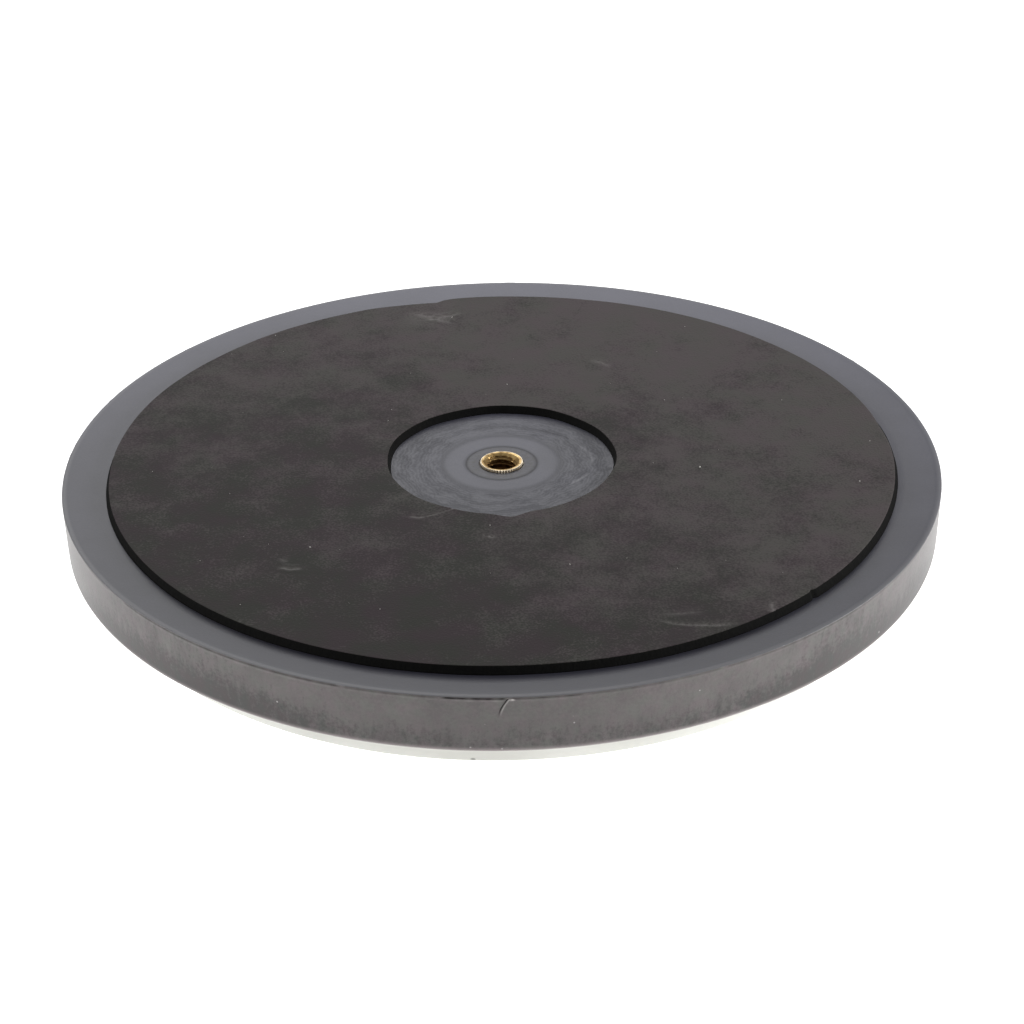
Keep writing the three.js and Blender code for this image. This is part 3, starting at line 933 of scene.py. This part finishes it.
def cutting_tree():
    tree, given = new_tree("cut_knurl_and_thread", [
        ("Teeth", "Float", 48.0),
        ("Tooth Depth", "Float", 0.3 * MM),
        ("Pitch", "Float", 1.25 * MM),
        ("Thread Depth", "Float", 0.65 * MM),
        ("Minor Radius", "Float", 3.325 * MM),
        ("Material", "Material", None),
    ])
    here = node(tree, "GeometryNodeInputPosition")
    apart = node(tree, "ShaderNodeSeparateXYZ", {"Vector": here})
    flat = node(tree, "ShaderNodeCombineXYZ", {"X": apart.outputs["X"], "Y": apart.outputs["Y"]})
    radius = node(tree, "ShaderNodeVectorMath", {0: flat}, operation="LENGTH").outputs["Value"]
    outwards = node(tree, "ShaderNodeVectorMath", {0: flat}, operation="NORMALIZE")
    angle = node(
        tree, "ShaderNodeMath", {0: apart.outputs["Y"], 1: apart.outputs["X"]}, operation="ARCTAN2"
    )
    turn = node(tree, "ShaderNodeMath", {0: angle, 1: math.tau}, operation="DIVIDE")
    zone = node(
        tree, "GeometryNodeInputNamedAttribute", {"Name": "zone"}, data_type="FLOAT"
    ).outputs["Attribute"]

    # Knurl: a triangle wave, one tooth to a turn's share.
    tooth = node(tree, "ShaderNodeMath", {0: turn, 1: given["Teeth"]}, operation="MULTIPLY")
    tooth_wave = node(tree, "ShaderNodeMath", {0: tooth, 1: 0.5}, operation="PINGPONG")
    tooth_cut = node(tree, "ShaderNodeMath", {0: tooth_wave, 1: -2.0}, operation="MULTIPLY")
    knurl = node(tree, "ShaderNodeMath", {0: tooth_cut, 1: given["Tooth Depth"]}, operation="MULTIPLY")
    is_knurl = node(tree, "ShaderNodeMath", {0: zone, 1: KNURLED, 2: 0.1}, operation="COMPARE")
    knurl_here = node(tree, "ShaderNodeMath", {0: knurl, 1: is_knurl}, operation="MULTIPLY")

    # Thread: the phase climbs one pitch for each turn, and the wave's top and foot are flat.
    climb = node(tree, "ShaderNodeMath", {0: apart.outputs["Z"], 1: given["Pitch"]}, operation="DIVIDE")
    phase = node(tree, "ShaderNodeMath", {0: climb, 1: turn}, operation="SUBTRACT")
    wave = node(tree, "ShaderNodeMath", {0: phase, 1: 0.5}, operation="PINGPONG")
    flank = node(tree, "ShaderNodeMapRange", {"Value": wave, 1: 0.12, 2: 0.44, 3: 0.0, 4: 1.0})
    thread_radius = node(
        tree, "ShaderNodeMath", {0: flank, 1: given["Thread Depth"], 2: given["Minor Radius"]},
        operation="MULTIPLY_ADD",
    )
    # Where the mouth's cone is wider than the thread, the cone stays.
    wider = node(tree, "ShaderNodeMath", {0: thread_radius, 1: radius}, operation="MAXIMUM")
    thread = node(tree, "ShaderNodeMath", {0: wider, 1: radius}, operation="SUBTRACT")
    is_thread = node(tree, "ShaderNodeMath", {0: zone, 1: THREADED, 2: 0.1}, operation="COMPARE")
    thread_here = node(tree, "ShaderNodeMath", {0: thread, 1: is_thread}, operation="MULTIPLY")
    move = node(tree, "ShaderNodeMath", {0: knurl_here, 1: thread_here}, operation="ADD")
    offset = node(tree, "ShaderNodeVectorMath", {0: outwards, "Scale": move}, operation="SCALE")
    shaped = node(tree, "GeometryNodeSetPosition", {"Geometry": given["Geometry"], "Offset": offset})
    close_tree(tree, shaped, given)
    return tree


cutting = cutting_tree()
print(cutting.name, "has", len(cutting.nodes), "nodes")

# %% Turn and cut the bush
MINOR = 3.325 * MM
MOUTH = 4.15 * MM
BREAK = 0.12 * MM
GROOVE = 4.7 * MM
GROOVE_SIDE = 0.1 * MM
LOW_BAND_FOOT = BUSH_BOTTOM + 0.9 * MM
LOW_BAND_TOP = BUSH_BOTTOM + 5.6 * MM
TOP_BAND_FOOT = BUSH_TOP - 4.0 * MM
cone_foot = BUSH_TOP - (MOUTH - MINOR)
# Each run of the section, with its zone. Two knurled bands have a plain groove between them.
bush_runs = [
    (between((MINOR, BUSH_BOTTOM), (GROOVE, BUSH_BOTTOM), 4), PLAIN),
    (between((GROOVE, BUSH_BOTTOM), (GROOVE, LOW_BAND_FOOT - GROOVE_SIDE), 2), PLAIN),
    (between((BUSH_RADIUS, LOW_BAND_FOOT), (BUSH_RADIUS, LOW_BAND_TOP), 4), KNURLED),
    (between((GROOVE, LOW_BAND_TOP + GROOVE_SIDE), (GROOVE, TOP_BAND_FOOT - GROOVE_SIDE), 3), PLAIN),
    (between((BUSH_RADIUS, TOP_BAND_FOOT), (BUSH_RADIUS, BUSH_TOP - BREAK), 5), KNURLED),
    (between((BUSH_RADIUS, BUSH_TOP - BREAK), (BUSH_RADIUS - BREAK, BUSH_TOP), 2), KNURLED),
    (between((BUSH_RADIUS - BREAK, BUSH_TOP), (MOUTH + BREAK / 2, BUSH_TOP), 3), PLAIN),
    (between((MOUTH, BUSH_TOP - BREAK / 2), (MINOR, cone_foot), 10), THREADED),
    (between((MINOR, cone_foot), (MINOR, BUSH_BOTTOM), 120), THREADED),
    ([(MINOR, BUSH_BOTTOM)], PLAIN),
]
bush_section = [point for run, _ in bush_runs for point in run]
bush_zones = [zone for run, zone in bush_runs for _ in run]
plain_bush = grown(
    "insert_detail", section_mesh(bush_section, bush_zones), turning,
    Columns=480, Waviness=0.0, Wave_Size=10 * MM, Material=brass,
)
cut_bush = grown(
    "threaded_insert_detail", plain_bush.data, cutting,
    Teeth=48.0, Tooth_Depth=0.3 * MM, Pitch=1.25 * MM, Thread_Depth=0.65 * MM, Minor_Radius=MINOR,
    Material=brass,
)
bpy.data.objects.remove(plain_bush)
report_mesh(cut_bush)
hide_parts("threaded_insert")
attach(cut_bush, "root")

# %% [markdown]
# ## The playing disc
# The struck side is a disc of pale natural rubber, moulded with a fine even grain that gives a
# stick the right bounce. Only its rounded edge shows from above.

# %% Pale rubber
def pale_rubber():
    material, tree, shader, place = new_material("rubber_pale_moulded", Roughness=0.6, IOR=1.5)
    cloud = node(tree, "ShaderNodeTexNoise", {"Vector": place, "Scale": 1 / (25 * MM), "Detail": 4.0})
    # The sides are painted greyer as painted shade, and one grain of dirt sits on its edge.
    across = node(tree, "ShaderNodeSeparateXYZ", {"Vector": place}).outputs["X"]
    side = node(tree, "ShaderNodeMath", {0: across}, operation="ABSOLUTE")
    painted_side_shade = node(tree, "ShaderNodeMapRange", {"Value": side, 1: 15 * MM, 2: 45 * MM, 4: 0.35})
    dirt = spot(tree, place, (-6.9 * MM, -93.3 * MM, 0.5 * MM), (0.5 * MM, 0.5 * MM, 0.3 * MM))
    tone = two_tone(tree, cloud, 0.3, 0.7, "#dcddd6", "#e9eae4")
    colour = coats(tree, tone, (painted_side_shade, "#a9aaa6"), (dirt, "#a3a49f"))
    # The moulded grain is 1.1 mm across.
    grain = node(
        tree, "ShaderNodeTexVoronoi", {"Vector": place, "Scale": 900.0}, feature="SMOOTH_F1"
    ).outputs["Distance"]
    bump = node(tree, "ShaderNodeBump", {"Height": grain, "Strength": 0.4, "Distance": 0.1 * MM})
    feed(tree, shader, {"Base Color": colour, "Normal": bump})
    return material


PLAY_ROUND = 0.4 * MM
PLAY_TOP_ROUND = 0.3 * MM
play_section = [
    *between((0.0, 0.0), (PLAY_RADIUS - PLAY_ROUND, 0.0), 30),
    *arc((PLAY_RADIUS - PLAY_ROUND, PLAY_ROUND), PLAY_ROUND, -90, 0, 8),
    *between((PLAY_RADIUS, PLAY_ROUND), (PLAY_RADIUS, PLAY_TOP - PLAY_TOP_ROUND), 6)[1:],
    *arc((PLAY_RADIUS - PLAY_TOP_ROUND, PLAY_TOP - PLAY_TOP_ROUND), PLAY_TOP_ROUND, 0, 90, 3),
    *between((PLAY_RADIUS - PLAY_TOP_ROUND, PLAY_TOP), (0.0, PLAY_TOP), 12)[1:],
    (0.0, PLAY_TOP),
]
disc = grown(
    "playing_disc", section_mesh(play_section), turning,
    Columns=512, Waviness=0.0, Wave_Size=30 * MM, Material=pale_rubber(),
)
report_mesh(disc)
disc.data.shade_smooth()
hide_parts("playing_surface")
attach(disc, "root")

# %% [markdown]
# ## What stays hidden
# The core and the two films of glue keep their CAD shapes. They show only if the pad is taken
# apart, but each still gets a true finish.

# %% Pressed board and glue
def pressed_board():
    # Chips pressed flat look brown, dull and speckled.
    material, tree, shader, place = new_material("fibreboard_pressed", Roughness=0.85)
    # The chips are 1.7 mm across.
    chips = node(
        tree, "ShaderNodeTexNoise", {"Vector": place, "Scale": 600.0, "Detail": 6.0, "Roughness": 0.7}
    )
    colour = two_tone(tree, chips, 0.3, 0.7, "#7a5c3d", "#a98761")
    bump = node(tree, "ShaderNodeBump", {"Height": chips, "Strength": 0.4, "Distance": 0.1 * MM})
    feed(tree, shader, {"Base Color": colour, "Normal": bump})
    return material


def dried_glue():
    # A thin grey-amber film with a soft shine.
    material, tree, shader, place = new_material("contact_glue_dried", Roughness=0.4)
    # Thick and thin places 8 mm across.
    cloud = node(tree, "ShaderNodeTexNoise", {"Vector": place, "Scale": 120.0, "Detail": 4.0})
    colour = coats(tree, "#4b473e", (cloud, "#6a6455"))
    bump = node(tree, "ShaderNodeBump", {"Height": cloud, "Strength": 0.3, "Distance": 0.05 * MM})
    feed(tree, shader, {"Base Color": colour, "Normal": bump})
    return material


def dress(name, material):
    """Gives a CAD node another material and leaves its mesh alone."""
    for material_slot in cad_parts[name].material_slots:
        material_slot.material = material


glue = dried_glue()
board = pressed_board()
dress("stiff_core", board)
dress("foam_ring_adhesive", glue)
dress("playing_surface_adhesive", glue)
print("hidden pieces wear", board.name, "and", glue.name)

# %% [markdown]
# ## Lint on the foam
# A few pale crumbs of dust sit on the foam. The bigger ones have their own places, and a seeded
# random draw adds small ones. A tree sets a tiny solid on each point, with its own turn.

# %% Dust material
def pale_dust():
    # Dust is pale, and has no shine at all.
    material, tree, shader, place = new_material("dust_pale", Roughness=0.9)
    speck = node(tree, "ShaderNodeTexNoise", {"Vector": place, "Scale": 1 / (0.5 * MM)})
    feed(tree, shader, {"Base Color": coats(tree, "#8f8c88", (speck, "#d9d7d2"))})
    return material


# %% Tree: set a crumb on each point
def lint_tree():
    tree, given = new_tree("set_lint", [("Seed", "Int", 1), ("Material", "Material", None)])
    crumb = node(tree, "GeometryNodeMeshIcoSphere", {"Radius": 0.5, "Subdivisions": 1})
    turn = node(
        tree, "FunctionNodeRandomValue", {0: (0, 0, 0), 1: (6.28, 6.28, 6.28), "Seed": given["Seed"]},
        data_type="FLOAT_VECTOR",
    )
    shape = node(
        tree, "FunctionNodeRandomValue",
        {0: (0.5, 0.5, 0.4), 1: (1.4, 1.0, 0.8), "Seed": given["Seed"]},
        data_type="FLOAT_VECTOR",
    )
    size = node(tree, "GeometryNodeInputNamedAttribute", {"Name": "size"}, data_type="FLOAT")
    scale = node(
        tree, "ShaderNodeVectorMath", {0: shape, "Scale": size.outputs["Attribute"]}, operation="SCALE"
    )
    crumbs = node(
        tree, "GeometryNodeInstanceOnPoints",
        {"Points": given["Geometry"], "Instance": crumb, "Rotation": turn, "Scale": scale},
    )
    close_tree(tree, crumbs, given)
    return tree


# Places in millimetres, with sizes.
CRUMBS = [
    (1.7, 37.6, 0.5), (-12.2, 77.5, 0.45), (14.4, -51.0, 0.4), (-42.2, -41.6, 0.4),
    (45.7, -7.4, 0.5), (81.5, -15.5, 0.4), (86.4, 4.2, 0.4), (-2.8, -33.1, 0.35),
]
chance = np.random.default_rng(7)
SMALL_CRUMBS = 34
ring_share = chance.uniform(0.12, 0.95, SMALL_CRUMBS)
crumb_radius = np.sqrt(ring_share) * FOAM_RADIUS / MM
crumb_turn = chance.uniform(0, math.tau, SMALL_CRUMBS)
small = zip(
    crumb_radius * np.cos(crumb_turn), crumb_radius * np.sin(crumb_turn),
    chance.uniform(0.12, 0.26, SMALL_CRUMBS),
)
all_crumbs = [*CRUMBS, *small]
crumb_mesh = bpy.data.meshes.new("crumb_points")
crumb_mesh.from_pydata([(x * MM, y * MM, FOAM_TOP + 0.05 * MM) for x, y, _ in all_crumbs], [], [])
crumb_sizes = crumb_mesh.attributes.new("size", "FLOAT", "POINT")
crumb_sizes.data.foreach_set("value", [size * MM for _, _, size in all_crumbs])
lint = grown("lint_specks", crumb_mesh, lint_tree(), Seed=7, Material=pale_dust())
report_mesh(lint)
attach(lint, "root")

# %% [markdown]
# ## Flash on the back edge
# Where the mould's halves met, a thin film of rubber squeezed out and was trimmed by hand. What
# the knife left is a row of short low ridges along the edge of the back. A tree sets them along
# a circle, each with its own length and height.

# %% Tree: set flash along the edge
def flash_tree():
    tree, given = new_tree("set_flash_on_edge", [
        ("Radius", "Float", 0.1),
        ("Height", "Float", 0.02),
        ("Count", "Int", 90),
        ("Seed", "Int", 1),
        ("Material", "Material", None),
    ])
    ring = node(
        tree, "GeometryNodeCurvePrimitiveCircle", {"Resolution": 360, "Radius": given["Radius"]}
    )
    spots = node(
        tree, "GeometryNodeCurveToPoints", {"Curve": ring, "Count": given["Count"]}, mode="COUNT"
    )
    drift = node(
        tree, "FunctionNodeRandomValue",
        {0: (-3 * MM, -3 * MM, 0.0), 1: (3 * MM, 3 * MM, 0.0), "Seed": given["Seed"]},
        data_type="FLOAT_VECTOR",
    )
    shaken = node(
        tree, "GeometryNodeSetPosition", {"Geometry": spots.outputs["Points"], "Offset": drift}
    )
    # Each point is pulled back onto the edge's circle after it was shaken.
    here = node(tree, "GeometryNodeInputPosition")
    direction = node(tree, "ShaderNodeVectorMath", {0: here}, operation="NORMALIZE")
    on_ring = node(
        tree, "ShaderNodeVectorMath", {0: direction, "Scale": given["Radius"]}, operation="SCALE"
    )
    lift = node(tree, "ShaderNodeCombineXYZ", {"Z": given["Height"]})
    settled = node(
        tree, "GeometryNodeSetPosition", {"Geometry": shaken, "Position": on_ring, "Offset": lift}
    )
    keep = node(
        tree, "FunctionNodeRandomValue", {"Probability": 0.12, "Seed": given["Seed"]},
        data_type="BOOLEAN",
    )
    ridge = node(tree, "GeometryNodeMeshIcoSphere", {"Radius": 1.0, "Subdivisions": 2})
    # Half sizes across, along and above the edge, from the smallest ridge to the biggest.
    size = node(
        tree, "FunctionNodeRandomValue",
        {0: (0.08 * MM, 0.4 * MM, 0.05 * MM), 1: (0.13 * MM, 2.2 * MM, 0.13 * MM), "Seed": 11},
        data_type="FLOAT_VECTOR",
    )
    along = node(tree, "ShaderNodeSeparateXYZ", {"Vector": direction})
    turn = node(
        tree, "ShaderNodeMath", {0: along.outputs["Y"], 1: along.outputs["X"]}, operation="ARCTAN2"
    )
    facing = node(tree, "ShaderNodeCombineXYZ", {"Z": turn})
    ridges = node(
        tree, "GeometryNodeInstanceOnPoints",
        {"Points": settled, "Selection": keep.outputs[3], "Instance": ridge, "Rotation": facing,
         "Scale": size},
    )
    close_tree(tree, ridges, given)
    return tree


flash = grown(
    "trimmed_flash", bpy.data.meshes.new("nothing"), flash_tree(),
    Radius=BODY_RADIUS - 0.12 * MM, Height=BODY_TOP - CROWN_DROP - 0.06 * MM, Count=110, Seed=4,
    Material=satin,
)
report_mesh(flash)
flash.data.shade_smooth()
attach(flash, "root")

# %% [markdown]
# ## Floor, light and camera
# The pad lies on a plain white floor in a light tent: an even dim sky, a soft lamp low on each
# side, which brightens the wall towards its sides, and a small one behind, which gives the back
# its sheen. The floor is bright enough to wash out the pad's shadow.

# %% Floor
HALF_FLOOR = 4.0
floor_mesh = bpy.data.meshes.new("floor")
floor_mesh.from_pydata(
    [(x * HALF_FLOOR, y * HALF_FLOOR, 0.0) for x, y in ((-1, -1), (1, -1), (1, 1), (-1, 1))],
    [], [(0, 1, 2, 3)],
)
white_floor, *_ = new_material(
    "floor_white", Roughness=0.9, Specular_IOR_Level=0.0, Base_Color="#f6f6f6",
    Emission_Color="#ffffff", Emission_Strength=0.8,
)
floor_mesh.materials.append(white_floor)
floor = bpy.data.objects.new("floor", floor_mesh)
bpy.context.scene.collection.objects.link(floor)
print("floor", 2 * HALF_FLOOR, "m across")

# %% Light
world = bpy.data.worlds.new("light_tent")
bpy.context.scene.world = world
world.use_nodes = True
sky = world.node_tree.nodes["Background"]
sky.inputs["Color"].default_value = linear("#ffffff")
sky.inputs["Strength"].default_value = 0.37


def soft_lamp(name, place, size, watts):
    """A square soft lamp aimed at the middle of the pad, out of the camera's sight."""
    data = bpy.data.lights.new(name, "AREA")
    data.shape = "SQUARE"
    data.size = size
    data.energy = watts
    lamp = bpy.data.objects.new(name, data)
    lamp.location = place
    lamp.rotation_euler = Vector(place).to_track_quat("Z", "Y").to_euler()
    lamp.visible_camera = False
    bpy.context.scene.collection.objects.link(lamp)
    print(name, "at", place, watts, "W")


soft_lamp("back_lamp", (-0.12, 0.75, 0.62), 0.6, 2.5)
soft_lamp("left_lamp", (-1.0, -0.1, 0.23), 0.45, 7.0)
soft_lamp("right_lamp", (1.0, -0.1, 0.23), 0.45, 12.0)
bpy.context.scene.view_settings.view_transform = "Standard"

# %% Camera
CAMERA_DISTANCE = 5.997 * BODY_RADIUS
CAMERA_ELEVATION = math.radians(27.79)
CAMERA_PAN = math.radians(-0.21)
CAMERA_TILT = math.radians(-1.158)
CAMERA_ROLL = math.radians(-0.96)
FOCAL_LENGTH_MM = 91.8

camera_data = bpy.data.cameras.new("camera")
camera_data.lens = FOCAL_LENGTH_MM
camera_data.sensor_width = 36.0
camera_data.clip_start = 0.01
camera = bpy.data.objects.new("camera", camera_data)
bpy.context.scene.collection.objects.link(camera)
stand = Matrix.Translation((
    0.0,
    -CAMERA_DISTANCE * math.cos(CAMERA_ELEVATION),
    BODY_TOP + CAMERA_DISTANCE * math.sin(CAMERA_ELEVATION),
))
aim = Matrix.Rotation(math.pi / 2 - CAMERA_ELEVATION, 4, "X")
aim = aim @ Matrix.Rotation(CAMERA_PAN, 4, "Y") @ Matrix.Rotation(CAMERA_TILT, 4, "X")
camera.matrix_world = stand @ aim @ Matrix.Rotation(CAMERA_ROLL, 4, "Z")
bpy.context.scene.camera = camera
print(f"camera {CAMERA_DISTANCE:.3f} m from the middle of the back")
